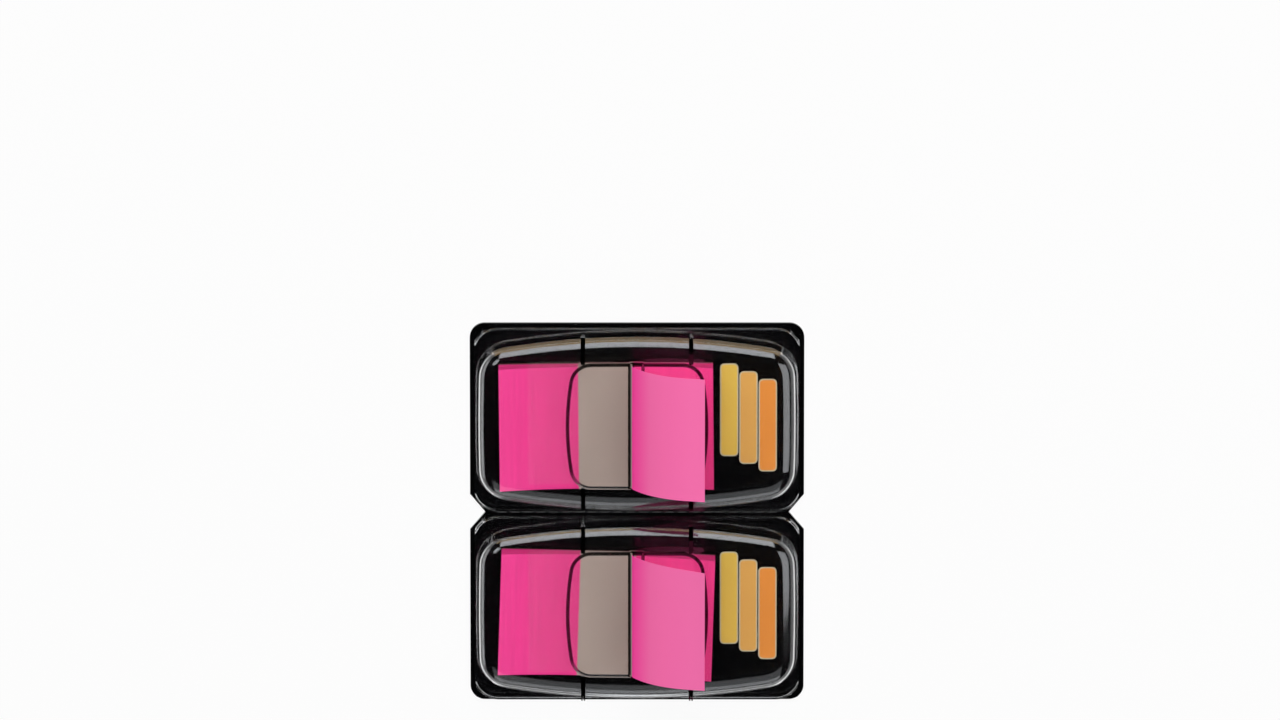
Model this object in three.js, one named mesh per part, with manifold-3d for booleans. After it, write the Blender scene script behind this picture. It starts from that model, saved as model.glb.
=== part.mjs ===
// Twin pack of sticky index tabs: two clear dispensers on one perforated card.
// Millimetres, +Z up. The pack lies on its back, X runs along the tabs, and the
// origin is the middle of the card's underside.
import * as THREE from 'three';
import { mergeVertices } from 'three/addons/utils/BufferGeometryUtils.js';
import Module from 'manifold-3d';

const wasm = await Module();
wasm.setup();

// Card
const cardThickness = 0.6;
const cardCorner = 3;
const notchDepth = 3.1;
const notchHalfLength = 3.7;
const tearSlotLength = 1.8;
const tearSlotWidth = 0.25;
const tearPitch = 2.6;

// Cover, one sheet of clear film drawn over two moulds
const sheet = 0.3;
const flange = 0.35;
const shelfX = 0.9;
const shelfY = 0.7;
const plinthTop = 2.9;
const plinthCorner = 5.4;
const plinthDraft = 0.1;
const plinthEdge = 0.25;
const domeHalfX = 32.5;
const domeHalfY = 18.6;
const domeLongBow = 3.3;
const domeShortBow = 0.5;
const domeCorner = 7;
const domeTop = 8.1;
const domeDraft = 0.45;
const shoulderAcross = 4.2;
const shoulderDown = 2.4;
const windowHalfX = 13.9;
const windowHalfY = 12.7;
const windowSideBow = 1.4;
const windowEndBow = 0.1;
const windowCorner = 4;
const windowRise = 0.35;

// Slot in the window that the tabs come out of, with a hooked end each way
const slotCutHeight = 3;
const slotX = -1.2;
const slotWidth = 0.5;
const slotSpare = 0.6;
const hookAcross = 2.4;
const hookInward = 1.7;
const hookWidth = 0.3;

// Guide fins, narrow pleats of the sheet that keep the pad in line
const finX = 10.9;
const finGap = 0.4;
const finReach = 13.05;
const finSlope = 1.05;
const finFoot = 0.3;

// Tabs, and what the pad stands on
const tabLength = 43.2;
const tabWidth = 25.4;
const filmThickness = 0.12;
const padThickness = 2.8;
const padCurl = 2.1;
const padUnderCurl = 0.6;
const curlPower = 2.2;
const padX = -6.2;
const padY = -1.1;
const upperPadTurn = 0.5;
const lowerPadTurn = -1.8;
const padLeaves = 9;
const leafStagger = 0.12;
const linerThickness = 0.2;
const linerCurl = 0.3;
const tapeThickness = 0.8;
const tapeLength = 22;
const tapeWidth = 12;
const restGap = 0.3;

// Pulled tab: how far it leans over, how high it arches outside the slot, where its inner
// end lies, and how it lifts off the pad before it climbs to the slot
const archHeight = 9.9;
const archReach = 14.8;
const insideEnd = -22;
const liftOff = 3.4;
const liftHeight = 0.5;
const climbOff = 0.6;
const climbDrop = 2.2;

const plinthHalfX = domeHalfX + shelfX;
const plinthHalfY = domeHalfY + shelfY;
const cardHalfX = plinthHalfX + flange;
const unitY = plinthHalfY + flange;
const cardHalfY = 2 * unitY;
const linerBottom = cardThickness + tapeThickness;
const padBottom = linerBottom + linerThickness;
const padTop = padBottom + padThickness;

const blackCard = new THREE.MeshStandardMaterial({ color: 0x0b0b0c, roughness: 0.25, metalness: 0 });
const clearFilm = new THREE.MeshStandardMaterial({
  color: 0xdfe4ea, roughness: 0.06, metalness: 0, transparent: true, opacity: 0.35,
});
const pinkFilm = new THREE.MeshStandardMaterial({ color: 0xf04b98, roughness: 0.35, metalness: 0 });
const linerPaper = new THREE.MeshStandardMaterial({ color: 0xe9e4da, roughness: 0.8, metalness: 0 });
const foamTape = new THREE.MeshStandardMaterial({ color: 0xd8d6d0, roughness: 0.9, metalness: 0 });

// Solids and booleans

function toSolid(geometry) {
  const bare = geometry.clone();
  bare.deleteAttribute('normal');
  bare.deleteAttribute('uv');
  const merged = mergeVertices(bare, 1e-5);
  return new wasm.Manifold(new wasm.Mesh({
    numProp: 3,
    vertProperties: new Float32Array(merged.attributes.position.array),
    triVerts: new Uint32Array(merged.index.array),
  }));
}

function toGeometry(solid) {
  const mesh = solid.getMesh();
  const geometry = new THREE.BufferGeometry();
  geometry.setAttribute('position', new THREE.BufferAttribute(mesh.vertProperties, 3));
  geometry.setIndex(new THREE.BufferAttribute(mesh.triVerts, 1));
  geometry.computeVertexNormals();
  return geometry;
}

// A closed skin over rings of equal count, each convex and counter-clockwise from above.
function loft(rings) {
  const count = rings[0].length;
  const points = rings.flat();
  const index = [];
  for (let level = 0; level + 1 < rings.length; level += 1) {
    for (let i = 0; i < count; i += 1) {
      const a = level * count + i;
      const b = level * count + (i + 1) % count;
      index.push(a, b, b + count, a, b + count, a + count);
    }
  }
  const last = (rings.length - 1) * count;
  for (let i = 1; i + 1 < count; i += 1) {
    index.push(0, i + 1, i);
    index.push(last, last + i, last + i + 1);
  }
  const geometry = new THREE.BufferGeometry().setFromPoints(points);
  geometry.setIndex(index);
  return geometry;
}

// A flat profile drawn in X and Z, made `width` long in Y about the middle.
function extrudeAlongY(shape, width) {
  const geometry = new THREE.ExtrudeGeometry(shape, { depth: width, bevelEnabled: false, curveSegments: 8 });
  geometry.rotateX(Math.PI / 2);
  geometry.translate(0, width / 2, 0);
  return geometry;
}

// Card outline

// Both units in one outline, necked by a notch each side.
function cardOutline() {
  const inX = cardHalfX - cardCorner;
  const inY = cardHalfY - cardCorner;
  const shape = new THREE.Shape();
  shape.moveTo(cardHalfX - notchDepth, 0);
  shape.lineTo(cardHalfX, notchHalfLength);
  shape.absarc(inX, inY, cardCorner, 0, Math.PI / 2, false);
  shape.absarc(-inX, inY, cardCorner, Math.PI / 2, Math.PI, false);
  shape.lineTo(-cardHalfX, notchHalfLength);
  shape.lineTo(-cardHalfX + notchDepth, 0);
  shape.lineTo(-cardHalfX, -notchHalfLength);
  shape.absarc(-inX, -inY, cardCorner, Math.PI, Math.PI * 1.5, false);
  shape.absarc(inX, -inY, cardCorner, Math.PI * 1.5, Math.PI * 2, false);
  shape.lineTo(cardHalfX, -notchHalfLength);
  return shape;
}

// A plate of the card's outline with a row of tear slots across its neck.
function tornPlate(thickness, z) {
  const options = { depth: thickness, bevelEnabled: false, curveSegments: 6 };
  let plate = toSolid(new THREE.ExtrudeGeometry(cardOutline(), options).translate(0, 0, z));
  const neckHalf = cardHalfX - notchDepth - tearPitch / 2;
  const pairs = Math.floor((neckHalf - tearSlotLength / 2 + tearPitch / 2) / tearPitch);
  for (let i = 0; i < pairs; i += 1) {
    for (const side of [-1, 1]) {
      const slot = new THREE.BoxGeometry(tearSlotLength, tearSlotWidth, thickness * 3);
      plate = plate.subtract(toSolid(slot.translate(side * (i + 0.5) * tearPitch, 0, z)));
    }
  }
  return plate;
}

// Cover outlines

function roundedRectangle(halfX, halfY, corner, inset, z) {
  const steps = 6;
  const radius = corner - inset;
  const ring = [];
  for (let quarter = 0; quarter < 4; quarter += 1) {
    const signX = quarter === 0 || quarter === 3 ? 1 : -1;
    const signY = quarter < 2 ? 1 : -1;
    for (let i = 0; i <= steps; i += 1) {
      const angle = (quarter + i / steps) * Math.PI / 2;
      const x = signX * (halfX - corner) + radius * Math.cos(angle);
      const y = signY * (halfY - corner) + radius * Math.sin(angle);
      ring.push(new THREE.Vector3(x, y, z));
    }
  }
  return ring;
}

// Radius of the arc that falls by `bow` over half a side.
function bowRadius(half, bow) {
  return (half * half + bow * bow) / (2 * bow);
}

// Barrel outline: four bowed sides, each a wide arc, blended by a corner arc that is
// tangent to both. Insetting it shortens every radius by the same amount.
function barrel({ halfX, halfY, longBow, shortBow, corner }, inset, z) {
  const longRadius = bowRadius(halfX, longBow);
  const shortRadius = bowRadius(halfY, shortBow);
  const longCentre = new THREE.Vector2(0, halfY - longRadius);
  const shortCentre = new THREE.Vector2(halfX - shortRadius, 0);
  const between = longCentre.clone().sub(shortCentre);
  const apart = between.length();
  const fromShort = shortRadius - corner;
  const fromLong = longRadius - corner;
  const along = (apart * apart + fromShort * fromShort - fromLong * fromLong) / (2 * apart);
  const across = Math.sqrt(fromShort * fromShort - along * along);
  const unit = between.divideScalar(apart);
  const blend = new THREE.Vector2(
    shortCentre.x + unit.x * along - unit.y * across,
    shortCentre.y + unit.y * along + unit.x * across,
  );
  const shortAngle = Math.atan2(blend.y - shortCentre.y, blend.x - shortCentre.x);
  const longAngle = Math.atan2(blend.y - longCentre.y, blend.x - longCentre.x);
  const arcs = [
    [shortCentre, shortRadius, 0, shortAngle, 2],
    [blend, corner, shortAngle, longAngle, 6],
    [longCentre, longRadius, longAngle, Math.PI / 2, 4],
  ];
  const quarter = [];
  for (const [centre, radius, from, to, steps] of arcs) {
    for (let i = 0; i < steps; i += 1) {
      const angle = from + (to - from) * i / steps;
      const reach = radius - inset;
      quarter.push([centre.x + reach * Math.cos(angle), centre.y + reach * Math.sin(angle)]);
    }
  }
  const top = [0, halfY - inset];
  const first = [...quarter, top];
  const second = quarter.slice(1).reverse().map(([x, y]) => [-x, y]);
  const upper = [...first, ...second, [-quarter[0][0], 0]];
  const lower = upper.slice(1, -1).reverse().map(([x, y]) => [x, -y]);
  return [...upper, ...lower].map(([x, y]) => new THREE.Vector3(x, y, z));
}

const domeForm = {
  halfX: domeHalfX, halfY: domeHalfY, longBow: domeLongBow, shortBow: domeShortBow, corner: domeCorner,
};
const windowForm = {
  halfX: windowHalfX, halfY: windowHalfY, longBow: windowEndBow, shortBow: windowSideBow, corner: windowCorner,
};

// One unit's raised form. With `skin` at nothing it is the outside of the sheet, and with
// `skin` at the sheet's thickness it is the hollow below it, open at the flange.
function raisedForm(skin) {
  const floor = skin > 0 ? cardThickness - sheet : cardThickness;
  const plinthRing = (inset, z) => roundedRectangle(plinthHalfX, plinthHalfY, plinthCorner, inset, z);
  const plinth = loft([
    plinthRing(skin, floor),
    plinthRing(skin + plinthDraft, plinthTop - skin - plinthEdge),
    plinthRing(skin + plinthDraft + plinthEdge, plinthTop - skin),
  ]);
  const rings = [
    barrel(domeForm, skin, floor),
    barrel(domeForm, skin, plinthTop - skin),
  ];
  const across = shoulderAcross - skin;
  const down = shoulderDown - skin;
  const shoulderSteps = 6;
  for (let i = 0; i <= shoulderSteps; i += 1) {
    const angle = i / shoulderSteps * Math.PI / 2;
    const inset = domeDraft + skin + across * (1 - Math.cos(angle));
    rings.push(barrel(domeForm, inset, domeTop - skin - down * (1 - Math.sin(angle))));
  }
  const window = loft([
    barrel(windowForm, skin, domeTop - shoulderDown),
    barrel(windowForm, skin, domeTop + windowRise - skin),
  ]);
  let form = toSolid(plinth).add(toSolid(loft(rings))).add(toSolid(window));
  for (const x of [-finX, finX]) {
    for (const side of [-1, 1]) {
      form = form.subtract(finPleat(x, side, skin));
    }
  }
  return form;
}

// A pleat is a three-sided gusset: upright faces a gap apart, and a slanted foot that
// rises from the wall to the reach at the dome's top.
function finPleat(x, side, skin) {
  const reach = finReach - skin;
  const top = domeTop + windowRise;
  const foot = plinthTop + finFoot;
  const drop = domeTop - foot;
  const outer = domeHalfY + drop;
  const shape = new THREE.Shape([
    new THREE.Vector2(reach, top),
    new THREE.Vector2(reach, domeTop - skin),
    new THREE.Vector2(reach + drop * finSlope, foot - skin),
    new THREE.Vector2(outer, foot - skin),
    new THREE.Vector2(outer, top),
  ]);
  const width = finGap + 2 * skin;
  const geometry = new THREE.ExtrudeGeometry(shape, { depth: width, bevelEnabled: false });
  geometry.rotateX(Math.PI / 2);
  geometry.rotateZ(side * Math.PI / 2);
  geometry.translate(x - side * width / 2, 0, 0);
  return toSolid(geometry);
}

// The slot's cutter: a straight slit, and at each end a short return across and inward.
function slotCutter() {
  const half = (tabWidth + slotSpare) / 2;
  const block = (x, y, sizeX, sizeY) => {
    const geometry = new THREE.BoxGeometry(sizeX, sizeY, slotCutHeight);
    return toSolid(geometry.translate(x, y, domeTop));
  };
  let cutter = block(slotX, 0, slotWidth, half * 2);
  for (const end of [-1, 1]) {
    const across = block(slotX + hookAcross / 2, end * (half - hookWidth / 2), hookAcross, hookWidth);
    const inward = block(slotX + hookAcross, end * (half - hookInward / 2), hookWidth, hookInward);
    cutter = cutter.add(across).add(inward);
  }
  return cutter;
}

function clearCover() {
  let cover = tornPlate(sheet, cardThickness);
  const outside = raisedForm(0);
  const hollow = raisedForm(sheet);
  const slot = slotCutter();
  for (const y of [unitY, -unitY]) {
    cover = cover.add(outside.translate(0, y, 0));
  }
  for (const y of [unitY, -unitY]) {
    cover = cover.subtract(hollow.translate(0, y, 0)).subtract(slot.translate(0, y, 0));
  }
  return toGeometry(cover);
}

// Pads

// Height that a pad's end curls up by, at a place along it.
function curl(x, rise) {
  return rise * Math.pow(Math.abs(2 * x / tabLength), curlPower);
}

// A pad of alternating leaves: both ends curl up, and every second leaf is set back a little.
function padProfile() {
  const steps = 16;
  const half = tabLength / 2;
  const shape = new THREE.Shape();
  const flatHalf = half / 2;
  shape.moveTo(-flatHalf, padBottom);
  shape.lineTo(flatHalf, padBottom);
  for (const side of [1, -1]) {
    const under = padBottom + padUnderCurl;
    const over = padTop + padCurl;
    const leaf = (over - under) / padLeaves;
    const order = [...Array(padLeaves).keys()];
    if (side < 0) {
      order.reverse();
    }
    for (const i of order) {
      const back = i % 2 === 0 ? leafStagger : 0;
      const x = side * (half - back);
      const low = under + i * leaf;
      const pair = side > 0 ? [low, low + leaf] : [low + leaf, low];
      shape.lineTo(x, pair[0]);
      shape.lineTo(x, pair[1]);
    }
    if (side > 0) {
      for (let i = 1; i < steps; i += 1) {
        const x = half - tabLength * i / steps;
        shape.lineTo(x, padTop + curl(x, padCurl));
      }
    }
  }
  return shape;
}

function linerProfile() {
  const half = tabLength / 2;
  const flatHalf = half / 2;
  return new THREE.Shape([
    new THREE.Vector2(-flatHalf, linerBottom),
    new THREE.Vector2(flatHalf, linerBottom),
    new THREE.Vector2(half, linerBottom + linerCurl),
    new THREE.Vector2(half, padBottom + linerCurl),
    new THREE.Vector2(flatHalf, padBottom),
    new THREE.Vector2(-flatHalf, padBottom),
    new THREE.Vector2(-half, padBottom + linerCurl),
    new THREE.Vector2(-half, linerBottom + linerCurl),
  ]);
}

// Pulled tab, drawn in X and Z: it lies along the pad, climbs to the slot, and leans
// over outside in one falling arc.
function pulledProfile() {
  const exitZ = domeTop + windowRise - sheet / 2;
  const lying = (x) => new THREE.Vector2(x, padTop + restGap + curl(x - padX, padCurl));
  const onArch = (out, up) => new THREE.Vector2(slotX + archReach * out, exitZ + archHeight * up);
  const path = new THREE.SplineCurve([
    lying(insideEnd),
    lying(insideEnd * 0.8),
    lying(insideEnd * 0.6),
    lying(insideEnd * 0.4),
    new THREE.Vector2(slotX - liftOff, padTop + restGap + liftHeight),
    new THREE.Vector2(slotX - climbOff, exitZ - climbDrop),
    new THREE.Vector2(slotX, exitZ),
    onArch(0.06, 0.22),
    onArch(0.27, 0.58),
    onArch(0.58, 0.85),
    onArch(1, 1),
  ]);
  const steps = 44;
  const half = filmThickness / 2;
  const near = [];
  const far = [];
  for (let i = 0; i <= steps; i += 1) {
    const point = path.getPoint(i / steps);
    const tangent = path.getTangent(i / steps);
    near.push(new THREE.Vector2(point.x + tangent.y * half, point.y - tangent.x * half));
    far.push(new THREE.Vector2(point.x - tangent.y * half, point.y + tangent.x * half));
  }
  return new THREE.Shape([...near, ...far.reverse()]);
}

function fixingTape() {
  const geometry = new THREE.BoxGeometry(tapeLength, tapeWidth, tapeThickness);
  return geometry.translate(0, 0, cardThickness + tapeThickness / 2);
}

// Assembly

function piece(name, geometry, material) {
  const mesh = new THREE.Mesh(geometry, material);
  mesh.name = name;
  return mesh;
}

const pack = new THREE.Group();
pack.add(piece('backing_card', toGeometry(tornPlate(cardThickness, 0)), blackCard));
pack.add(piece('clear_cover', clearCover(), clearFilm));

const units = [
  ['upper', unitY, upperPadTurn],
  ['lower', -unitY, lowerPadTurn],
];
for (const [unit, y, turn] of units) {
  const held = new THREE.Group();
  held.position.set(padX, y + padY, 0);
  held.rotation.z = THREE.MathUtils.degToRad(turn);
  held.add(piece(`${unit}_fixing_tape`, fixingTape(), foamTape));
  held.add(piece(`${unit}_pad_liner`, extrudeAlongY(linerProfile(), tabWidth), linerPaper));
  held.add(piece(`${unit}_tab_pad`, extrudeAlongY(padProfile(), tabWidth), pinkFilm));
  pack.add(held);
  const pulled = piece(`${unit}_pulled_tab`, extrudeAlongY(pulledProfile(), tabWidth), pinkFilm);
  pulled.position.y = y;
  pack.add(pulled);
}

export default pack;
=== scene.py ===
import math

import bmesh
import bpy
import numpy as np
from mathutils import Matrix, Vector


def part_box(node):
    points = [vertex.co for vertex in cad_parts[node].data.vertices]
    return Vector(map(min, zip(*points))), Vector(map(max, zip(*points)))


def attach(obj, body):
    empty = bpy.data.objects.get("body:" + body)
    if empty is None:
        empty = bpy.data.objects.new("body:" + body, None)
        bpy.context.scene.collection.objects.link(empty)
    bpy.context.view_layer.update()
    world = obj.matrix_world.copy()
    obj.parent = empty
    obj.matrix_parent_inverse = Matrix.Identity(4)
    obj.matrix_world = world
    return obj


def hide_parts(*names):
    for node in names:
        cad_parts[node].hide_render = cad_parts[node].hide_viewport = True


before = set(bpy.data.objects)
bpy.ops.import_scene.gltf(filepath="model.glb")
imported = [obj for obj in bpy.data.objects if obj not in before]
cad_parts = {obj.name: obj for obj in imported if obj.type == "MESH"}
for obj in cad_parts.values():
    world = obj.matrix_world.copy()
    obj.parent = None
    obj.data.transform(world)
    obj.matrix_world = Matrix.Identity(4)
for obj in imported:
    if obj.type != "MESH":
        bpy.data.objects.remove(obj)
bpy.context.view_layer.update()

# Finishes, light and camera for a twin dispenser pack of sticky index tabs.
# Shapes below are worked out in millimetres and scaled to metres as they become meshes.
MM = 0.001


def millimetres(node):
    """A node's lowest and highest corner as arrays in millimetres."""
    low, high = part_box(node)
    return np.array(low) / MM, np.array(high) / MM


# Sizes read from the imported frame.
CARD_LOW, CARD_HIGH = millimetres("backing_card")
COVER_LOW, COVER_HIGH = millimetres("clear_cover")
CARD_HALF_X = CARD_HIGH[0]
CARD_HALF_Y = CARD_HIGH[1]
CARD_TOP = CARD_HIGH[2]
UNIT_Y = CARD_HALF_Y / 2
WINDOW_TOP = COVER_HIGH[2]
UNITS = {"upper": 1.0, "lower": -1.0}

# Card outline.
CARD_CORNER = 3.0
NOTCH_DEPTH = 3.1
NOTCH_HALF_LENGTH = 3.7

# Cover sheet.
SHEET = 0.3
PLINTH_INSET = 0.35
PLINTH_TOP = 2.9
PLINTH_CORNER = 5.4
PLINTH_EDGE = 0.25
PLINTH_LEAN = 0.1
DOME_FOOT = 0.25
DOME = {"half_x": 32.5, "half_y": 18.6, "long_bow": 3.3, "short_bow": 0.5, "corner": 7.0}
DOME_DRAFT = 0.45
SHOULDER_ACROSS = 4.2
SHOULDER_DOWN = 2.4
SHOULDER_THINNING = 0.8
WINDOW = {"half_x": 13.9, "half_y": 12.7, "long_bow": 0.1, "short_bow": 1.4, "corner": 4.0}
WINDOW_RISE = 0.35
WINDOW_STEP = 0.5
WINDOW_RINGS = (0.6, 0.02)
DOME_TOP = WINDOW_TOP - WINDOW_RISE
RAYS = 600

# Slot and pleats.
SLOT_X = -1.2
SLOT_WIDTH = 0.5
SLOT_HALF = 13.0
SLOT_DEPTH = 1.2
HOOK_ACROSS = 2.4
HOOK_INWARD = 1.7
HOOK_WIDTH = 0.06
FIN_X = 10.9
FIN_GAP = 0.2
FIN_REACH = 13.05
FIN_SLOPE = 1.05
FIN_FOOT = PLINTH_TOP + 0.3
FIN_INSIDE = 0.15
FIN_OUTSIDE = 1.5
CUT_CLEARANCE = 1.0

# Painted shade at the margins of the cuts and folds in the sheet.
SLOT_SHADE = 0.3
HOOK_SHADE = 0.22
FIN_SHADE_END = 18.0
CUT_SOFT = 0.08

# Where the sheet's shine is bent: by how much, past which facing, and how far past the dome.
SHINE_BEND = 0.88
WALL_FACING = (0.76, 0.88)
END_WALL_PAST = (0.1, 0.3)

# The upper dome's far rim, which mirrors the warm strip: its facing, place and tilt.
RIM_FACING = (0.64, 0.68)
RIM_DROP = 1.45
RIM_HALF_Z = 0.6
RIM_Y = 17.0
RIM_HALF_Y = 2.4
RIM_SOFT = 0.15
RIM_TILT = 43.6

# Tabs.
TAB_LENGTH = 43.2
TAB_WIDTH = 25.4
PINK_END = 16.0
TAB_TWIST = {"upper": 0.0, "lower": 3.5}
TAB_SPRING = 1.5
TAB_TONE_FROM = -4.0
TAB_TONE_TO = 18.0
FILM = 0.1
PAD_X = -6.2
PAD_Y = -1.1
PAD_TURN = {"upper": 0.5, "lower": -1.8}
PAD_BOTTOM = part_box("upper_tab_pad")[0].z / MM
PAD_THICKNESS = 2.8
PAD_CURL = 2.1
PAD_UNDER_CURL = 0.6
CURL_POWER = 2.2
PAD_LEAVES = 26
PAD_SEED = {"upper": 7, "lower": 11}
LEAF_STAGGER = 0.14

# How the pulled tab leaves the pad and climbs to the slot.
TAB_REST = 0.12
LYING_END = -8.0
LIFT_OFF = 3.2
LIFT_HEIGHT = 0.55
CLIMB_OFF = 0.7
CLIMB_DROP = 2.2

# Printed bars.
PRINT_X = 22.5
BAR_STEP_X = 3.9
BAR_STEP_Y = 1.6
BAR_WIDTH = 3.2
BAR_HALF = 9.4
BAR_CORNER = 0.7
BAR_BORDER = 0.25
INK = 0.02

# Studio, in metres.
FLOOR_HALF = 3.0
FLOOR_HEIGHT = -0.00003
FLOOR_GLOW = 0.92
CEILING_HALF = 11.0
CEILING_HEIGHT = 3.4
WORLD_LIGHT = 0.35
CAMERA_TILT = 14.2
CAMERA_DISTANCE = 3.3
FRAME_WIDTH = 0.2583
AIM_X = 0.0006
AIM_Y = 0.0316
COOL_WHITE = (0.95, 0.97, 1.0)
WARM = (1.0, 0.62, 0.2)


# Meshes from arrays

def make_piece(name, points, faces, replaced=None, smooth=True):
    """A mesh object at the origin from points in millimetres; given parts to replace, it rides on the pack
    and hides them.
    """
    mesh = bpy.data.meshes.new(name)
    mesh.from_pydata((np.asarray(points) * MM).tolist(), [], [list(f) for f in faces])
    mesh.validate()
    mesh.polygons.foreach_set("use_smooth", np.full(len(mesh.polygons), smooth))
    mesh.update()
    piece = bpy.data.objects.new(name, mesh)
    bpy.context.scene.collection.objects.link(piece)
    if replaced:
        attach(piece, "root")
        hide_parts(*replaced)
    return piece


def grid_faces(rows, columns, closed=False):
    """Quads of a grid of points stored row by row; closed joins the last column to the first."""
    across = columns if closed else columns - 1
    r, c = np.meshgrid(np.arange(rows - 1), np.arange(across), indexing="ij")
    a = (r * columns + c).ravel()
    b = (r * columns + (c + 1) % columns).ravel()
    return np.stack([a, b, b + columns, a + columns], axis=1)


def add_attribute(piece, name, values):
    """A number for each point of the piece's mesh, for its material to read."""
    layer = piece.data.attributes.new(name, "FLOAT", "POINT")
    layer.data.foreach_set("value", np.asarray(values, dtype=np.float32))


def tube_faces(rows, columns):
    """Faces of a closed body whose rows run round it and whose columns run along it."""
    faces = grid_faces(rows, columns).tolist()
    last = (rows - 1) * columns
    faces += [[last + i, last + i + 1, i + 1, i] for i in range(columns - 1)]
    for end in (0, columns - 1):
        ring = [row * columns + end for row in range(rows)]
        faces.append(ring if end == 0 else ring[::-1])
    return faces


def face_outwards(piece):
    """Turns every face of a closed mesh outwards."""
    shape = bmesh.new()
    shape.from_mesh(piece.data)
    bmesh.ops.recalc_face_normals(shape, faces=shape.faces)
    shape.to_mesh(piece.data)
    shape.free()


# Outlines, each given as its distance from the unit's middle in every direction

def arc(centre, radius, start, end, steps=240):
    """Points of a circular arc, its angles running evenly from start to end."""
    angles = np.linspace(start, end, steps)
    return np.stack([centre[0] + radius * np.cos(angles), centre[1] + radius * np.sin(angles)], axis=1)


def bow_radius(half, bow):
    """Radius of the arc that falls by bow over half a side."""
    return (half * half + bow * bow) / (2 * bow)


def barrel_outline(inset, half_x, half_y, long_bow, short_bow, corner):
    """Four bowed sides blended by tangent corner arcs; an inset shortens every radius alike."""
    long_radius = bow_radius(half_x, long_bow)
    short_radius = bow_radius(half_y, short_bow)
    long_centre = np.array([0.0, half_y - long_radius])
    short_centre = np.array([half_x - short_radius, 0.0])
    between = long_centre - short_centre
    apart = np.hypot(*between)
    from_short = short_radius - corner
    from_long = long_radius - corner
    along = (apart**2 + from_short**2 - from_long**2) / (2 * apart)
    across = math.sqrt(from_short**2 - along**2)
    unit = between / apart
    blend = short_centre + along * unit + across * np.array([-unit[1], unit[0]])
    short_angle = math.atan2(*(blend - short_centre)[::-1])
    long_angle = math.atan2(*(blend - long_centre)[::-1])
    quarter = np.concatenate([
        arc(short_centre, short_radius - inset, 0, short_angle),
        arc(blend, corner - inset, short_angle, long_angle),
        arc(long_centre, long_radius - inset, long_angle, math.pi / 2),
    ])
    return mirror_quarter(quarter)


def rounded_outline(inset, half_x, half_y, corner):
    """A rectangle with quarter-circle corners."""
    centre = (half_x - corner, half_y - corner)
    return mirror_quarter(arc(centre, corner - inset, 0, math.pi / 2))


def mirror_quarter(quarter):
    """A whole outline from its first quarter, counter-clockwise."""
    left = quarter[::-1] * (-1, 1)
    upper = np.concatenate([quarter, left])
    outline = np.concatenate([upper, upper[::-1] * (1, -1)])
    steps = np.hypot(*(outline - np.roll(outline, 1, axis=0)).T)
    return outline[steps > 1e-6]


def unit_card_outline(inset):
    """One unit's half of the card: round outer corners, and at the neck its cut-off corners."""
    centre = (CARD_HALF_X - CARD_CORNER, UNIT_Y - CARD_CORNER)
    right = np.concatenate([
        [(CARD_HALF_X - NOTCH_DEPTH, -UNIT_Y), (CARD_HALF_X, NOTCH_HALF_LENGTH - UNIT_Y)],
        arc(centre, CARD_CORNER, 0, math.pi / 2),
    ])
    outline = np.concatenate([right, right[::-1] * (-1, 1)])
    return outline * (1 - inset / CARD_HALF_X)


def reach(outline, angles):
    """Where rays at these angles from the middle cross the outline's straight steps, as points."""
    order = np.argsort(np.arctan2(outline[:, 1], outline[:, 0]))
    start = outline[order]
    edge = np.roll(start, -1, axis=0) - start
    bearing = np.arctan2(start[:, 1], start[:, 0])
    which = np.searchsorted(bearing, angles, side="right") - 1
    a, e = start[which], edge[which]
    ray = np.stack([np.cos(angles), np.sin(angles)], axis=1)
    radius = (a[:, 0] * e[:, 1] - a[:, 1] * e[:, 0]) / (ray[:, 0] * e[:, 1] - ray[:, 1] * e[:, 0])
    return ray * radius[:, None]


# Cover

def cover_profile(skin):
    """Rings from the flange to the window's middle as (outline, height, painted shade at the window's step).

    With skin at nothing they follow the outside of the sheet, and with skin at the sheet's
    thickness its inside. The dome's shoulder is a quarter ellipse, and the window's step an S.
    """
    plinth = (CARD_HALF_X - PLINTH_INSET, UNIT_Y - PLINTH_INSET, PLINTH_CORNER)
    rings = []
    floor = CARD_TOP + (0 if skin else SHEET)
    rings.append((rounded_outline(skin, *plinth), floor, 0))
    for turn in np.linspace(0, math.pi / 2, 6):
        inset = skin + PLINTH_LEAN + PLINTH_EDGE * (1 - math.cos(turn))
        height = PLINTH_TOP - skin - PLINTH_EDGE * (1 - math.sin(turn))
        rings.append((rounded_outline(inset, *plinth), height, 0))
    for turn in np.linspace(0, math.pi / 2, 5):
        inset = skin - DOME_FOOT * (1 - math.sin(turn))
        height = PLINTH_TOP - skin + DOME_FOOT * (1 - math.cos(turn))
        rings.append((barrel_outline(inset, **DOME), height, 0))
    across = SHOULDER_ACROSS - skin
    down = SHOULDER_DOWN - skin * SHOULDER_THINNING
    for turn in np.linspace(0, math.pi / 2, 26):
        inset = DOME_DRAFT + skin + across * (1 - math.cos(turn))
        height = DOME_TOP - skin - down * (1 - math.sin(turn))
        rings.append((barrel_outline(inset, **DOME), height, 0))
    for share in np.linspace(0, 1, 9):
        inset = skin - WINDOW_STEP * (1 - share)
        rise = WINDOW_RISE * (0.5 - 0.5 * math.cos(math.pi * share))
        # Painted shade on the window's step, darkest halfway up it.
        painted_step_shade = math.sin(math.pi * share) ** 0.25 if 0 < share < 1 else 0
        rings.append((barrel_outline(inset, **WINDOW), DOME_TOP - skin + rise, painted_step_shade))
    for share in WINDOW_RINGS:
        rings.append((barrel_outline(skin, **WINDOW) * share, WINDOW_TOP - skin, 0))
    return rings


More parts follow.
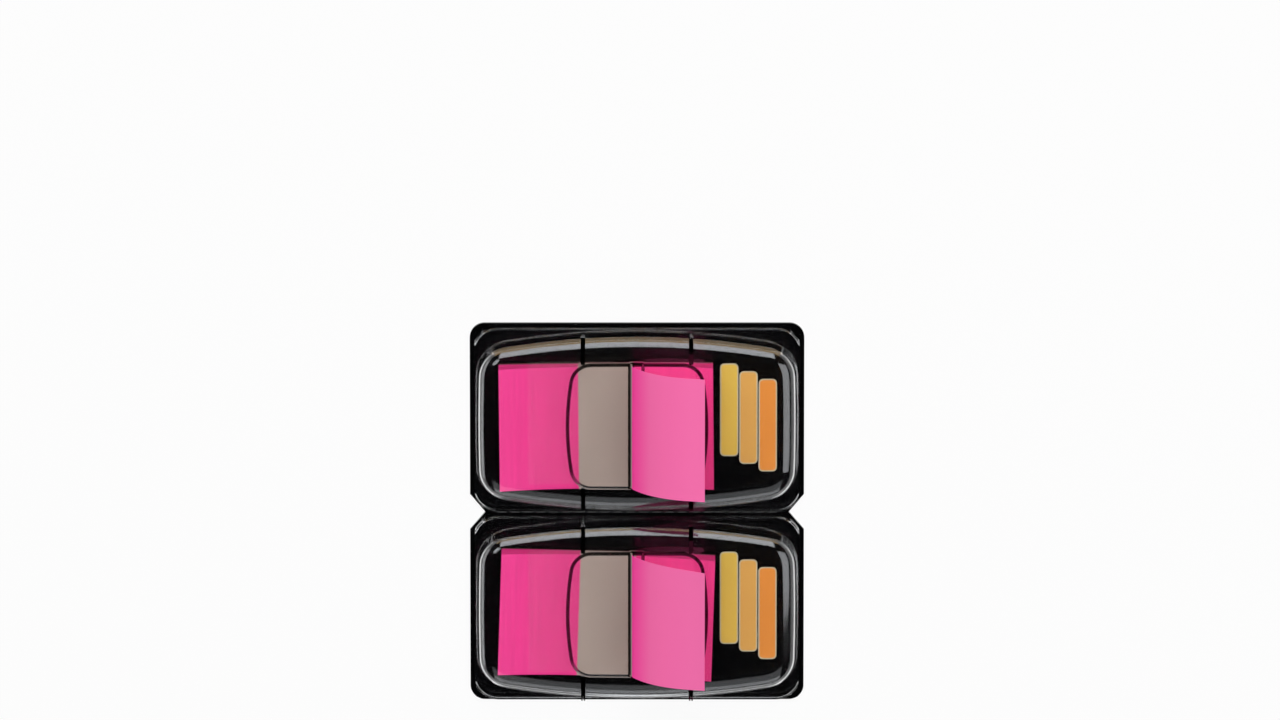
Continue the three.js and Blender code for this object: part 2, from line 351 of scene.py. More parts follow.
def prism(points, low, high, lift):
    """A closed bar over a flat outline, from low to high; lift turns (u, v, w) into x, y, z."""
    count = len(points)
    flat = np.asarray(points, dtype=float)
    lower = [lift(u, v, low) for u, v in flat]
    upper = [lift(u, v, high) for u, v in flat]
    sides = [(i, (i + 1) % count, (i + 1) % count + count, i + count) for i in range(count)]
    ends = [tuple(range(count))[::-1], tuple(range(count, 2 * count))]
    return np.array(lower + upper), sides + ends


def tool_from(parts):
    """One mesh object from several closed bars, with its faces turned outwards."""
    points = []
    faces = []
    start = 0
    for part_points, part_faces in parts:
        points.append(part_points)
        faces += [tuple(i + start for i in face) for face in part_faces]
        start += len(part_points)
    piece = make_piece("cutter", np.concatenate(points), faces)
    face_outwards(piece)
    return piece


def pleat_bar(x, side, skin):
    """A guide pleat: a narrow bar whose slanted foot climbs from the wall to its reach.

    With a skin it is the folded sheet, which ends inside the wall and the shoulder. Without one
    it is the gap in the fold, which runs out past both.
    """
    inner = FIN_REACH - skin
    if skin:
        outer = DOME["half_y"] - FIN_INSIDE
        top = DOME_TOP - 0.5 * SHEET
        ridge = outer - (outer - FIN_REACH) * 0.3
        shoulder = [(outer, DOME_TOP - SHOULDER_DOWN * 0.7), (ridge, DOME_TOP - SHOULDER_DOWN * 0.2)]
    else:
        outer = DOME["half_y"] + FIN_OUTSIDE
        top = DOME_TOP + CUT_CLEARANCE
        shoulder = [(outer, top)]
    foot = DOME_TOP - skin - (outer - inner) / FIN_SLOPE
    outline = [(inner, top), (inner, DOME_TOP - skin), (outer, foot)] + shoulder
    bottom = FIN_FOOT - skin
    half = FIN_GAP / 2 + skin
    return prism(outline, x - half, x + half, lambda u, v, w: (w, side * u, max(v, bottom)))


def slot_bar():
    """The slot: a straight slit with a hooked return across and inwards at each end."""
    left = SLOT_X - SLOT_WIDTH / 2
    right = SLOT_X + SLOT_WIDTH / 2
    hook_left = SLOT_X + HOOK_ACROSS - HOOK_WIDTH / 2
    hook_right = hook_left + HOOK_WIDTH
    ledge = SLOT_HALF - HOOK_WIDTH
    tip = SLOT_HALF - HOOK_INWARD
    upper = [(right, ledge), (hook_left, ledge), (hook_left, tip), (hook_right, tip), (hook_right, SLOT_HALF)]
    lower = [(x, -y) for x, y in reversed(upper)]
    outline = [(left, SLOT_HALF), (left, -SLOT_HALF)] + lower + upper
    return prism(outline, DOME_TOP - SLOT_DEPTH, WINDOW_TOP + CUT_CLEARANCE, lambda u, v, w: (u, v, w))


def bake_modifiers(piece):
    """Replaces the piece's mesh by its modified one."""
    graph = bpy.context.evaluated_depsgraph_get()
    mesh = bpy.data.meshes.new_from_object(piece.evaluated_get(graph))
    piece.modifiers.clear()
    piece.data = mesh


def boolean(piece, tool, operation):
    """Cuts or joins the tool, then throws it away."""
    step = piece.modifiers.new(operation.lower(), "BOOLEAN")
    step.operation = operation
    step.object = tool
    step.solver = "MANIFOLD"
    bpy.context.view_layer.update()
    bake_modifiers(piece)
    bpy.data.objects.remove(tool)


def cover_shell():
    """One unit's half of the sheet as points, faces and the painted shade of the window's step, about the
    unit's middle.

    Rays at shared angles cross every ring's outline, so the rings join into one closed grid:
    up the outside to the window's middle, and back down the inside.
    """
    corners = [math.atan2(y, x) for x, y in unit_card_outline(0)[[0, 1, -1, -2]]]
    angles = np.unique(np.concatenate([np.linspace(-math.pi, math.pi, RAYS, endpoint=False), corners]))
    card = unit_card_outline(0)
    outside = [(card, CARD_TOP, 0), (card, CARD_TOP + SHEET, 0)] + cover_profile(0)
    inside = cover_profile(SHEET)
    rings = outside + inside[::-1]
    columns = len(angles)
    points = np.concatenate([
        np.column_stack([reach(outline, angles), np.full(columns, height)]) for outline, height, _ in rings
    ])
    painted_step_shade = np.repeat([shade for _, _, shade in rings], columns)
    faces = grid_faces(len(rings), columns, closed=True)
    turn = len(outside) - 1
    middle = faces[turn * columns:(turn + 1) * columns]
    faces = np.delete(faces, np.s_[turn * columns:(turn + 1) * columns], axis=0).tolist()
    faces.append([int(q[0]) for q in middle])
    faces.append([int(q[3]) for q in middle][::-1])
    last = (len(rings) - 1) * columns
    c = np.arange(columns)
    n = (c + 1) % columns
    faces += np.stack([last + c, last + n, n, c], axis=1).tolist()
    return points, faces, painted_step_shade


def make_cover():
    """Both halves of the clear sheet, each cut for its slot and pleated, mirrored at the tear line."""
    points, faces, painted_step_shade = cover_shell()
    shell = make_piece("upper_clear_cover", points, faces)
    # The edge attribute carries the painted shade of the window's step to the sheet's material.
    add_attribute(shell, "edge", painted_step_shade)
    face_outwards(shell)
    ribs = tool_from([pleat_bar(x, side, SHEET) for x in (-FIN_X, FIN_X) for side in (-1, 1)])
    boolean(shell, ribs, "UNION")
    gaps = [pleat_bar(x, side, 0) for x in (-FIN_X, FIN_X) for side in (-1, 1)]
    boolean(shell, tool_from(gaps + [slot_bar()]), "DIFFERENCE")
    upper = shell.data
    lower = upper.copy()
    upper.transform(Matrix.Translation((0, UNIT_Y * MM, 0)))
    lower.transform(Matrix.Translation((0, -UNIT_Y * MM, 0)) @ Matrix.Diagonal((1, -1, 1, 1)))
    lower.flip_normals()
    twin = bpy.data.objects.new("lower_clear_cover", lower)
    bpy.context.scene.collection.objects.link(twin)
    for piece in (shell, twin):
        piece.data.set_sharp_from_angle(angle=math.radians(40))
        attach(piece, "root")
        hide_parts("clear_cover")
    return shell, twin


# Pads and pulled tabs

def curl(x, rise):
    """How far a pad is lifted at a distance from its middle: more and more towards its ends."""
    return rise * np.abs(2 * x / TAB_LENGTH) ** CURL_POWER


def turned(points, degrees, centre):
    """Points turned about Z and moved to a centre."""
    a = math.radians(degrees)
    x = points[:, 0] * math.cos(a) - points[:, 1] * math.sin(a) + centre[0]
    y = points[:, 0] * math.sin(a) + points[:, 1] * math.cos(a) + centre[1]
    return np.stack([x, y, points[:, 2]], axis=1)


def make_pad(unit, sign):
    """A pad of leaves: its section runs round a curled strip, with a fine step at each leaf's edge.

    Columns run along the tabs. Rows run up one side, over the top, down the other side and back
    under. Each leaf is set in or out by a few hundredths, as stacked film is.
    """
    rng = np.random.default_rng(PAD_SEED[unit])
    along = np.linspace(-TAB_LENGTH / 2, TAB_LENGTH / 2, 61)
    half = TAB_WIDTH / 2
    up = np.repeat(np.linspace(0, 1, PAD_LEAVES + 1), 2)[1:-1]
    inset = np.repeat(rng.uniform(0, LEAF_STAGGER, PAD_LEAVES), 2)
    y = np.concatenate([half - inset[::-1], -half + inset])
    lift = np.concatenate([up[::-1], up])
    low = PAD_BOTTOM + curl(along, PAD_UNDER_CURL)
    high = PAD_BOTTOM + PAD_THICKNESS + curl(along, PAD_CURL)
    rows = [
        np.stack([along, np.full_like(along, side), low + (high - low) * share], axis=1)
        for side, share in zip(y, lift)
    ]
    points = turned(np.concatenate(rows), PAD_TURN[unit], (PAD_X, sign * UNIT_Y + PAD_Y))
    faces = tube_faces(len(rows), len(along))
    pad = make_piece(f"{unit}_film_pad", points, faces, [f"{unit}_tab_pad"], False)
    face_outwards(pad)
    add_attribute(pad, "along", np.tile(along, len(rows)))
    return pad


def spline(points, steps):
    """A Catmull-Rom curve through the points, sampled evenly between each two."""
    p = np.concatenate([[2 * points[0] - points[1]], points, [2 * points[-1] - points[-2]]])
    out = []
    for i in range(1, len(p) - 2):
        t = np.linspace(0, 1, steps, endpoint=False)[:, None]
        a, b, c, d = p[i - 1], p[i], p[i + 1], p[i + 2]
        square = 2 * a - 5 * b + 4 * c - d
        cube = 3 * b - a - 3 * c + d
        out.append(0.5 * (2 * b + (c - a) * t + square * t**2 + cube * t**3))
    out.append(p[-2][None])
    return np.concatenate(out)


def make_pulled_tab(unit, sign):
    """A strip of film along a path in X and Z, given its thickness on both sides of the path.

    The path follows the pad's curl, climbs to the slot and arches over outside it, as a smooth
    curve through a few points. Outside the slot the strip may twist: its edge towards +Y then
    climbs, by the square of the way to its free end.
    """
    low, high = millimetres(f"{unit}_pulled_tab")
    top = PAD_BOTTOM + PAD_THICKNESS + TAB_REST
    exit_z = WINDOW_TOP - SHEET / 2
    arch_reach = high[0] - SLOT_X
    arch_height = high[2] - exit_z + TAB_SPRING
    inner = np.linspace(low[0], LYING_END, 7)
    lying = np.stack([inner, top + curl(inner - PAD_X, PAD_CURL)], axis=1)
    rising = np.array([
        (SLOT_X - LIFT_OFF, top + LIFT_HEIGHT),
        (SLOT_X - CLIMB_OFF, exit_z - CLIMB_DROP),
        (SLOT_X, exit_z),
        (SLOT_X + arch_reach * 0.06, exit_z + arch_height * 0.2),
        (SLOT_X + arch_reach * 0.27, exit_z + arch_height * 0.56),
        (SLOT_X + arch_reach * 0.58, exit_z + arch_height * 0.84),
        (high[0], exit_z + arch_height),
    ])
    path = spline(np.concatenate([lying, rising]), 8)
    step = np.gradient(path, axis=0)
    tangent = step / np.hypot(step[:, 0], step[:, 1])[:, None]
    normal = np.stack([-tangent[:, 1], tangent[:, 0]], axis=1) * FILM / 2
    length = np.concatenate([[0], np.cumsum(np.hypot(*np.diff(path, axis=0).T))])
    across = np.linspace(-TAB_WIDTH / 2, TAB_WIDTH / 2, 9)
    loop = np.concatenate([across, across[::-1]])
    side = np.repeat([1, -1], len(across))
    free = np.clip((path[:, 0] - SLOT_X) / arch_reach, 0, 1) ** 2
    rows = []
    for y, s in zip(loop, side):
        line = path + normal * s
        line[:, 1] += free * TAB_TWIST[unit] * (y / TAB_WIDTH + 0.5)
        rows.append(np.stack([line[:, 0], np.full(len(line), y + sign * UNIT_Y), line[:, 1]], axis=1))
    points = np.concatenate(rows)
    faces = tube_faces(len(rows), len(path))
    tab = make_piece(f"{unit}_film_tab", points, faces, [f"{unit}_pulled_tab"])
    face_outwards(tab)
    tab.data.set_sharp_from_angle(angle=math.radians(50))
    pulled_exit = np.interp(SLOT_X, path[:, 0], length)
    add_attribute(tab, "pulled", np.tile(length - pulled_exit, len(rows)))
    return tab


# Printed panel

def make_print(unit, sign):
    """Three plain bars, side by side like index tabs, each with a pale border, on the card."""
    points = []
    faces = []
    inks = []
    for number in range(3):
        x = PRINT_X + (number - 1) * BAR_STEP_X
        y = sign * UNIT_Y - (number - 1) * BAR_STEP_Y
        for layer, grow in enumerate((BAR_BORDER, 0)):
            ring = rounded_outline(0, BAR_WIDTH / 2 + grow, BAR_HALF + grow, BAR_CORNER + grow)[::6]
            low = CARD_TOP + INK / 2
            high = low + INK * (layer + 1)
            bar, sides = prism(ring, low, high, lambda u, v, w: (x + u, y + v, w))
            faces += [tuple(i + len(points) for i in side) for side in sides]
            points += bar.tolist()
            inks += [0.25 * (number + 1) * layer] * len(bar)
    panel = make_piece(f"{unit}_print", points, faces, None, False)
    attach(panel, "root")
    add_attribute(panel, "ink", inks)
    return panel


# Materials

def new_material(name):
    """A node material with its nodes, its links and its Principled shader."""
    material = bpy.data.materials.new(name)
    material.use_nodes = True
    nodes = material.node_tree.nodes
    return material, nodes, material.node_tree.links, nodes["Principled BSDF"]


def add_node(nodes, kind, **settings):
    """A node with its plain settings and unlinked input values."""
    node = nodes.new(kind)
    for name, value in settings.items():
        if name.startswith("in_"):
            node.inputs[name[3:].replace("_", " ")].default_value = value
        else:
            setattr(node, name, value)
    return node


def calculate(nodes, links, operation, first, second=0.0, clamp=False):
    """The result of a sum over two sockets or plain numbers."""
    node = add_node(nodes, "ShaderNodeMath", operation=operation, use_clamp=clamp)
    for place, given in enumerate((first, second)):
        if isinstance(given, bpy.types.NodeSocket):
            links.new(given, node.inputs[place])
        else:
            node.inputs[place].default_value = given
    return node.outputs["Value"]


def rescale(nodes, links, value, start, end, to_start=0.0, to_end=1.0):
    """Carries a value between start and end over to a second range, and holds it there."""
    node = add_node(nodes, "ShaderNodeMapRange", in_From_Min=start, in_From_Max=end)
    node.inputs["To Min"].default_value = to_start
    node.inputs["To Max"].default_value = to_end
    links.new(value, node.inputs["Value"])
    return node.outputs["Result"]


def split_vector(nodes, links, vector):
    """A vector's X, Y and Z."""
    split = nodes.new("ShaderNodeSeparateXYZ")
    links.new(vector, split.inputs["Vector"])
    return [split.outputs[axis] for axis in "XYZ"]


def lean(nodes, links, direction, towards, share):
    """A direction drawn towards a fixed one by a share."""
    mix = add_node(nodes, "ShaderNodeMix", data_type="VECTOR")
    mix.inputs["B"].default_value = towards
    links.new(share, mix.inputs["Factor"])
    links.new(direction, mix.inputs["A"])
    return mix.outputs["Result"]


def shaded(nodes, links, colour, shade):
    """A colour made darker or lighter by a grey shade."""
    mix = add_node(nodes, "ShaderNodeMix", data_type="RGBA", blend_type="MULTIPLY")
    mix.inputs["Factor"].default_value = 1.0
    links.new(colour, mix.inputs["A"])
    links.new(shade, mix.inputs["B"])
    return mix.outputs["Result"]


def ramp(nodes, links, value, stops):
    """The colour at a value between (place, colour) stops, and the ramp that gives it."""
    node = nodes.new("ShaderNodeValToRGB")
    elements = node.color_ramp.elements
    elements[0].position, elements[0].color = stops[0][0], (*stops[0][1], 1)
    elements[1].position, elements[1].color = stops[-1][0], (*stops[-1][1], 1)
    for place, colour in stops[1:-1]:
        elements.new(place).color = (*colour, 1)
    links.new(value, node.inputs["Fac"])
    return node.outputs["Color"], node.color_ramp


def mottle(nodes, links, scale, detail):
    """Fine noise over the piece's own frame."""
    place = nodes.new("ShaderNodeTexCoord")
    noise = add_node(nodes, "ShaderNodeTexNoise", in_Scale=scale, in_Detail=detail)
    links.new(place.outputs["Object"], noise.inputs["Vector"])
    return noise.outputs["Fac"]


def add_bump(nodes, links, shader, height, strength):
    """Roughens the shader's normal by a height of up to a tenth of a millimetre."""
    bump = add_node(nodes, "ShaderNodeBump", in_Strength=strength, in_Distance=0.1 * MM)
    links.new(height, bump.inputs["Height"])
    links.new(bump.outputs["Normal"], shader.inputs["Normal"])


def paint(piece, material):
    """Gives the piece this one material."""
    piece.data.materials.clear()
    piece.data.materials.append(material)


def box_mask_group():
    """Node group: one inside a flat box about a centre, falling to nothing over a soft margin."""
    group = bpy.data.node_groups.new("box_mask", "ShaderNodeTree")
    names = ["Across", "Along", "Centre Across", "Centre Along", "Half Across", "Half Along", "Soft"]
    for name in names:
        group.interface.new_socket(name, in_out="INPUT", socket_type="NodeSocketFloat")
    group.interface.new_socket("Mask", in_out="OUTPUT", socket_type="NodeSocketFloat")
    nodes, links = group.nodes, group.links
    given = nodes.new("NodeGroupInput").outputs
    result = nodes.new("NodeGroupOutput")
    masks = []
    for way in ("Across", "Along"):
        off = calculate(nodes, links, "SUBTRACT", given[way], given[f"Centre {way}"])
        size = calculate(nodes, links, "ABSOLUTE", off)
        outside = calculate(nodes, links, "SUBTRACT", size, given[f"Half {way}"])
        share = calculate(nodes, links, "DIVIDE", outside, given["Soft"])
        masks.append(calculate(nodes, links, "SUBTRACT", 1.0, share, clamp=True))
    links.new(calculate(nodes, links, "MULTIPLY", *masks), result.inputs["Mask"])
    return group


def box_mask(nodes, links, group, sockets, centre, half, soft):
    """A box mask over two places in metres, its own sizes given in millimetres."""
    box = add_node(nodes, "ShaderNodeGroup", node_tree=group)
    for way, socket, middle, extent in zip(("Across", "Along"), sockets, centre, half):
        links.new(socket, box.inputs[way])
        box.inputs[f"Centre {way}"].default_value = middle * MM
        box.inputs[f"Half {way}"].default_value = extent * MM
    box.inputs["Soft"].default_value = soft * MM
    return box.outputs["Mask"]


def cut_shade_mask(nodes, links, group, x, y):
    """One where shade is painted at a cut or a tight fold of the sheet: the slit, its hooked ends and the
    pleats, as boxes.
    """
    along = calculate(nodes, links, "ABSOLUTE", y)
    along = calculate(nodes, links, "SUBTRACT", along, UNIT_Y * MM)
    along = calculate(nodes, links, "ABSOLUTE", along)
    hook_half = HOOK_WIDTH / 2 + HOOK_SHADE
    fold_middle = (FIN_REACH + FIN_SHADE_END) / 2
    fold_half = (FIN_GAP / 2 + SHEET, (FIN_SHADE_END - FIN_REACH) / 2)
    boxes = [
        ((SLOT_X, 0), (SLOT_WIDTH / 2 + SLOT_SHADE, SLOT_HALF)),
        ((SLOT_X + HOOK_ACROSS / 2, SLOT_HALF - HOOK_WIDTH / 2), (HOOK_ACROSS / 2, hook_half)),
        ((SLOT_X + HOOK_ACROSS, SLOT_HALF - HOOK_INWARD / 2), (hook_half, HOOK_INWARD / 2)),
        ((-FIN_X, fold_middle), fold_half),
        ((FIN_X, fold_middle), fold_half),
    ]
    total = 0.0
    for centre, half in boxes:
        mask = box_mask(nodes, links, group, (x, along), centre, half, CUT_SOFT)
        total = calculate(nodes, links, "MAXIMUM", total, mask)
    return total


def wall_share(nodes, links, x, facing_y):
    """One on the long walls, which face along Y, and on the plinth's ends, past the dome in X."""
    long_wall = rescale(nodes, links, calculate(nodes, links, "ABSOLUTE", facing_y), *WALL_FACING)
    start, end = [(DOME["half_x"] + past) * MM for past in END_WALL_PAST]
    end_wall = rescale(nodes, links, calculate(nodes, links, "ABSOLUTE", x), start, end)
    return calculate(nodes, links, "MAXIMUM", long_wall, end_wall)


def rim_share(nodes, links, group, y, z, facing_y):
    """One on the steep rim at the far side of the upper dome."""
    steep = rescale(nodes, links, facing_y, *RIM_FACING)
    centre = (DOME_TOP - RIM_DROP, UNIT_Y + RIM_Y)
    rim = box_mask(nodes, links, group, (z, y), centre, (RIM_HALF_Z, RIM_HALF_Y), RIM_SOFT)
    return calculate(nodes, links, "MULTIPLY", steep, rim)


def clear_sheet_material():
    """Glossy clear film, with painted shade at the window's step, at its cuts and in its pleats.

    Its shine is bent upwards there, on the long walls and on the plinth's ends, so that they
    mirror the black ceiling and not the floor. The upper dome's far rim mirrors the warm strip.
    """
    material, nodes, links, shader = new_material("clear_sheet")
    shader.inputs["Roughness"].default_value = 0.06
    shader.inputs["IOR"].default_value = 1.54
    shader.inputs["Transmission Weight"].default_value = 1.0
    group = box_mask_group()
    x, y, z = split_vector(nodes, links, nodes.new("ShaderNodeTexCoord").outputs["Object"])
    normal = nodes.new("ShaderNodeNewGeometry").outputs["Normal"]
    facing_y = split_vector(nodes, links, normal)[1]

    # Painted shade: the sheet's colour goes grey and then black at the window's step and at the cuts and
    # pleats.
    edge = add_node(nodes, "ShaderNodeAttribute", attribute_name="edge").outputs["Fac"]
    # The painted step shade is weaker, down to four tenths, where the step faces -Y.
    foot = rescale(nodes, links, facing_y, -0.5, 0.0, 0.4, 1.0)
    step = calculate(nodes, links, "MULTIPLY", edge, foot)
    dark = calculate(nodes, links, "MAXIMUM", step, cut_shade_mask(nodes, links, group, x, y))
    stops = [(0.0, (0.93, 0.94, 0.95)), (0.35, (0.3, 0.3, 0.31)), (0.8, (0.02, 0.02, 0.02))]
    links.new(ramp(nodes, links, dark, stops)[0], shader.inputs["Base Color"])

    dulled = calculate(nodes, links, "MAXIMUM", wall_share(nodes, links, x, facing_y), dark)
    bend = calculate(nodes, links, "MULTIPLY", dulled, SHINE_BEND)
    bent = lean(nodes, links, normal, (0, 0, 1), bend)
    tilt = math.radians(RIM_TILT)
    rim = rim_share(nodes, links, group, y, z, facing_y)
    turned_normal = lean(nodes, links, bent, (0, math.sin(tilt), math.cos(tilt)), rim)
    unit_long = add_node(nodes, "ShaderNodeVectorMath", operation="NORMALIZE")
    links.new(turned_normal, unit_long.inputs[0])
    links.new(unit_long.outputs["Vector"], shader.inputs["Normal"])

    path = nodes.new("ShaderNodeLightPath")
    clear = nodes.new("ShaderNodeBsdfTransparent")
    mix = nodes.new("ShaderNodeMixShader")
    links.new(path.outputs["Is Shadow Ray"], mix.inputs["Fac"])
    links.new(shader.outputs["BSDF"], mix.inputs[1])
    links.new(clear.outputs["BSDF"], mix.inputs[2])
    links.new(mix.outputs["Shader"], nodes["Material Output"].inputs["Surface"])
    return material


def black_card_material():
    """Gloss-coated black card with a faint mottle in its coating."""
    material, nodes, links, shader = new_material("black_card")
    noise = mottle(nodes, links, 900.0, 4.0)
    stops = [(0.3, (0.0016, 0.0016, 0.0018)), (0.7, (0.0026, 0.0026, 0.003))]
    links.new(ramp(nodes, links, noise, stops)[0], shader.inputs["Base Color"])
    links.new(rescale(nodes, links, noise, 0.0, 1.0, 0.05, 0.08), shader.inputs["Roughness"])
    add_bump(nodes, links, shader, noise, 0.02)
    return material


def pad_material():
    """Stacked film: pink at both ends, and the beige of many clear leaves between.

    Each leaf differs a little in tone, and painted shade darkens the upright sides of the pad.
    """
    material, nodes, links, shader = new_material("film_pad")
    along = add_node(nodes, "ShaderNodeAttribute", attribute_name="along").outputs["Fac"]
    share = rescale(nodes, links, along, -TAB_LENGTH / 2, TAB_LENGTH / 2)
    left = PINK_END / TAB_LENGTH
    soft = 0.003
    colour, _ = ramp(nodes, links, share, [
        (0.0, (0.97, 0.053, 0.305)), (left - soft, (0.86, 0.036, 0.25)),
        (left + soft, (0.445, 0.35, 0.295)), (1 - left - soft, (0.435, 0.325, 0.28)),
        (1 - left + soft, (1.0, 0.055, 0.28)), (1.0, (1.0, 0.055, 0.28)),
    ])
    place = nodes.new("ShaderNodeTexCoord")
    stretch = add_node(nodes, "ShaderNodeMapping", in_Scale=(60, 60, 9000))
    links.new(place.outputs["Object"], stretch.inputs["Vector"])
    leaf = add_node(nodes, "ShaderNodeTexNoise", in_Scale=1.0, in_Detail=2.0)
    links.new(stretch.outputs["Vector"], leaf.inputs["Vector"])
    leaf_shade = rescale(nodes, links, leaf.outputs["Fac"], 0.0, 1.0, 0.86, 1.06)
    # Painted shade: faces turned away from straight up are darkened, down to half on the upright sides.
    true_normal = nodes.new("ShaderNodeNewGeometry").outputs["True Normal"]
    facing_z = split_vector(nodes, links, true_normal)[2]
    painted_side_shade = rescale(nodes, links, facing_z, 0.3, 0.7, 0.5, 1.0)
    colour = shaded(nodes, links, shaded(nodes, links, colour, leaf_shade), painted_side_shade)
    links.new(colour, shader.inputs["Base Color"])
    shader.inputs["Roughness"].default_value = 0.38
    shader.inputs["Specular IOR Level"].default_value = 0.4
    return material


def tone_place(length):
    """Where a length pulled out of the slot stands on the tab's colour ramps."""
    return (length - TAB_TONE_FROM) / (TAB_TONE_TO - TAB_TONE_FROM)


def tab_material():
    """One film tab: clear where it sticks, painted shadow in the slot, then pink and paler to its free end.

    The film glows a little by itself in its own colour, painted light over clear and pink parts alike, though
    fluorescent pink film does look brighter than its lighting.
    """
    material, nodes, links, shader = new_material("film_tab")
    pulled = add_node(nodes, "ShaderNodeAttribute", attribute_name="pulled").outputs["Fac"]
    share = rescale(nodes, links, pulled, TAB_TONE_FROM, TAB_TONE_TO)
    clear, shadow, pale = (0.55, 0.5, 0.42), (0.012, 0.010, 0.010), (0.42, 0.36, 0.33)
    # The shadow tone is painted shadow where the tab climbs up through the slot.
    tones = [
        (-2.2, clear), (-1.7, shadow), (0.0, shadow), (0.15, pale), (0.7, pale), (0.8, (1.0, 0.045, 0.38)),
        (3.2, (0.99, 0.08, 0.40)), (7.5, (0.97, 0.16, 0.44)), (17.0, (1.0, 0.18, 0.46)),
    ]
    colour, _ = ramp(nodes, links, share, [(tone_place(length), tone) for length, tone in tones])
    links.new(colour, shader.inputs["Base Color"])
    # Painted light: the film's own colour glows faintly.
    links.new(colour, shader.inputs["Emission Color"])
    shader.inputs["Emission Strength"].default_value = 0.11
    bodies = [(-2.2, 0.02), (-1.7, 0.85), (17.0, 0.95)]
    body, _ = ramp(nodes, links, share, [(tone_place(length), (solid,) * 3) for length, solid in bodies])
    links.new(body, shader.inputs["Alpha"])
    shader.inputs["Roughness"].default_value = 0.5
    shader.inputs["Specular IOR Level"].default_value = 0.15
    return material


def print_material():
    """Flat inks for the printed bars, with a pale border."""
    material, nodes, links, shader = new_material("printed_bars")
    ink = add_node(nodes, "ShaderNodeAttribute", attribute_name="ink").outputs["Fac"]
    colour, steps = ramp(nodes, links, ink, [
        (0.0, (0.56, 0.50, 0.33)), (0.24, (0.76, 0.51, 0.075)), (0.49, (0.74, 0.39, 0.085)),
        (0.74, (0.80, 0.275, 0.04)),
    ])
    steps.interpolation = "CONSTANT"
    links.new(colour, shader.inputs["Base Color"])
    shader.inputs["Roughness"].default_value = 0.4
    return material


def hidden_material(name, dark, light, scale):
    """A mottled paper or foam for what lies under the pads."""
    material, nodes, links, shader = new_material(name)
    noise = mottle(nodes, links, scale, 3.0)
    links.new(ramp(nodes, links, noise, [(0.35, dark), (0.65, light)])[0], shader.inputs["Base Color"])
    add_bump(nodes, links, shader, noise, 0.3)
    shader.inputs["Roughness"].default_value = 0.8
    return material


# Floor, light and camera

def seen_share(nodes, links, share):
    """A share that holds for camera, glossy and transmission rays, and is nothing for others."""
    path = nodes.new("ShaderNodeLightPath").outputs
    either = calculate(nodes, links, "MAXIMUM", path["Is Camera Ray"], path["Is Glossy Ray"])
    any_of = calculate(nodes, links, "MAXIMUM", either, path["Is Transmission Ray"])
    return calculate(nodes, links, "MULTIPLY", any_of, share)


def make_plane(name, half, height, facing_down=False):
    """A square sheet of the studio, level, at a height in metres."""
    side = half / MM
    around = [(-side, -side), (side, -side), (side, side), (-side, side)]
    corners = [(x, y, height / MM) for x, y in around]
    plane = make_piece(name, corners[::-1] if facing_down else corners, [(0, 1, 2, 3)])
    return plane


def make_floor():
    """A wide white floor, mostly white of itself, so that it stays white and keeps a soft shadow."""
    floor = make_plane("floor", FLOOR_HALF, FLOOR_HEIGHT)
    material, nodes, links, shader = new_material("pale_floor")
    shader.inputs["Base Color"].default_value = (0.92, 0.92, 0.92, 1)
    shader.inputs["Roughness"].default_value = 0.7
    shader.inputs["Specular IOR Level"].default_value = 0.1
    glow = add_node(nodes, "ShaderNodeEmission")
    glow.inputs["Color"].default_value = (1, 1, 1, 1)
    glow.inputs["Strength"].default_value = 1.0
    mix = nodes.new("ShaderNodeMixShader")
    links.new(seen_share(nodes, links, FLOOR_GLOW), mix.inputs["Fac"])
    links.new(shader.outputs["BSDF"], mix.inputs[1])
    links.new(glow.outputs["Emission"], mix.inputs[2])
    links.new(mix.outputs["Shader"], nodes["Material Output"].inputs["Surface"])
    paint(floor, material)


def make_ceiling():
    """A matt black sheet high above, so that the level faces of the cover mirror nothing bright."""
    ceiling = make_plane("black_ceiling", CEILING_HALF, CEILING_HEIGHT, facing_down=True)
    material, nodes, links, shader = new_material("black_cloth")
    shader.inputs["Base Color"].default_value = (0.004, 0.004, 0.004, 1)
    shader.inputs["Roughness"].default_value = 1.0
    shader.inputs["Specular IOR Level"].default_value = 0.0
    paint(ceiling, material)


def make_world():
    """White wherever it is seen, and a plain grey as light."""
    world = bpy.data.worlds.new("studio")
    bpy.context.scene.world = world
    world.use_nodes = True
    nodes = world.node_tree.nodes
    links = world.node_tree.links
    background = nodes["Background"]
    background.inputs["Color"].default_value = (WORLD_LIGHT, WORLD_LIGHT, WORLD_LIGHT, 1)
    white = add_node(nodes, "ShaderNodeBackground")
    white.inputs["Color"].default_value = (1, 1, 1, 1)
    mix = nodes.new("ShaderNodeMixShader")
    links.new(seen_share(nodes, links, 1.0), mix.inputs["Fac"])
    links.new(background.outputs["Background"], mix.inputs[1])
    links.new(white.outputs["Background"], mix.inputs[2])
    links.new(mix.outputs["Shader"], nodes["World Output"].inputs["Surface"])


def make_lamp(name, tilt, azimuth, distance, width, height, radiance, colour=COOL_WHITE):
    """A soft box at a tilt from overhead, towards an azimuth counted from +Y to +X, facing the pack."""
    data = bpy.data.lights.new(name, "AREA")
    data.shape = "RECTANGLE"
    data.size = width
    data.size_y = height
    data.energy = radiance * math.pi * width * height
    data.color = colour
    lamp = bpy.data.objects.new(name, data)
    t, a = math.radians(tilt), math.radians(azimuth)
    direction = np.array([math.sin(t) * math.sin(a), math.sin(t) * math.cos(a), math.cos(t)])
    lamp.location = direction * distance
    lamp.rotation_euler = (-lamp.location).to_track_quat("-Z", "Y").to_euler()
    bpy.context.scene.collection.objects.link(lamp)
    return lamp


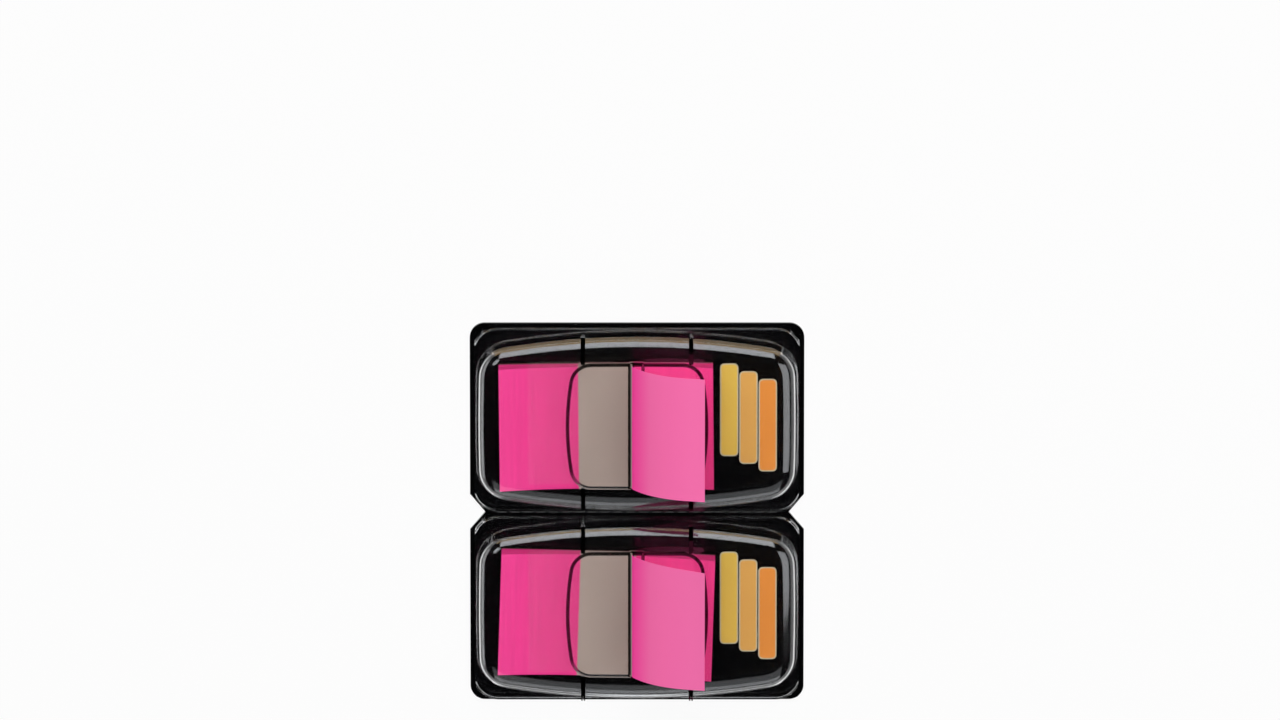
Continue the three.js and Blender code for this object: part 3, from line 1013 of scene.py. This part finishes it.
def make_camera():
    """A long lens high above the pack, on its +Y side, aimed so that the pack lies low in the frame."""
    tilt = math.radians(CAMERA_TILT)
    aim = np.array([AIM_X, AIM_Y, CARD_TOP * MM])
    data = bpy.data.cameras.new("camera")
    data.sensor_width = 36
    data.lens = data.sensor_width * CAMERA_DISTANCE / FRAME_WIDTH
    data.clip_start = 0.05
    data.clip_end = 20
    camera = bpy.data.objects.new("camera", data)
    camera.location = aim + CAMERA_DISTANCE * np.array([0, math.sin(tilt), math.cos(tilt)])
    camera.rotation_euler = (-tilt, 0, 0)
    bpy.context.scene.collection.objects.link(camera)
    bpy.context.scene.camera = camera


# Making the pack

sheet_finish = clear_sheet_material()
for cover in make_cover():
    paint(cover, sheet_finish)
pad_finish = pad_material()
tab_finish = tab_material()
print_finish = print_material()
for unit, sign in UNITS.items():
    paint(make_pad(unit, sign), pad_finish)
    paint(make_pulled_tab(unit, sign), tab_finish)
    paint(make_print(unit, sign), print_finish)

paint(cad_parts["backing_card"], black_card_material())
foam = hidden_material("foam_strip", (0.30, 0.29, 0.27), (0.42, 0.41, 0.38), 2500.0)
# Painted shade: the liner under the pads is given a dark pink-brown for the dark strip under their sides.
liner = hidden_material("liner_paper", (0.20, 0.05, 0.07), (0.26, 0.07, 0.09), 1200.0)
for unit in UNITS:
    paint(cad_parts[f"{unit}_fixing_tape"], foam)
    paint(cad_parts[f"{unit}_pad_liner"], liner)

make_floor()
make_ceiling()
make_world()
make_lamp("back_box", 50, 0, 1.6, 1.6, 0.95, 3.7)
make_lamp("warm_strip", 73, 0, 1.3, 2.2, 0.3, 1.8, WARM)
make_lamp("right_box", 45, 88, 1.3, 0.8, 0.7, 2.5)
make_lamp("left_corner_box", 38, 305, 1.3, 0.3, 0.3, 3.4)
make_lamp("left_strip", 77, 270, 1.3, 1.4, 0.46, 1.8)
make_lamp("front_box", 60, 180, 1.6, 1.8, 0.5, 1.7)
make_lamp("front_fill", 40, 180, 1.6, 1.8, 0.6, 0.6)
make_camera()
bpy.context.scene.view_settings.view_transform = "Standard"
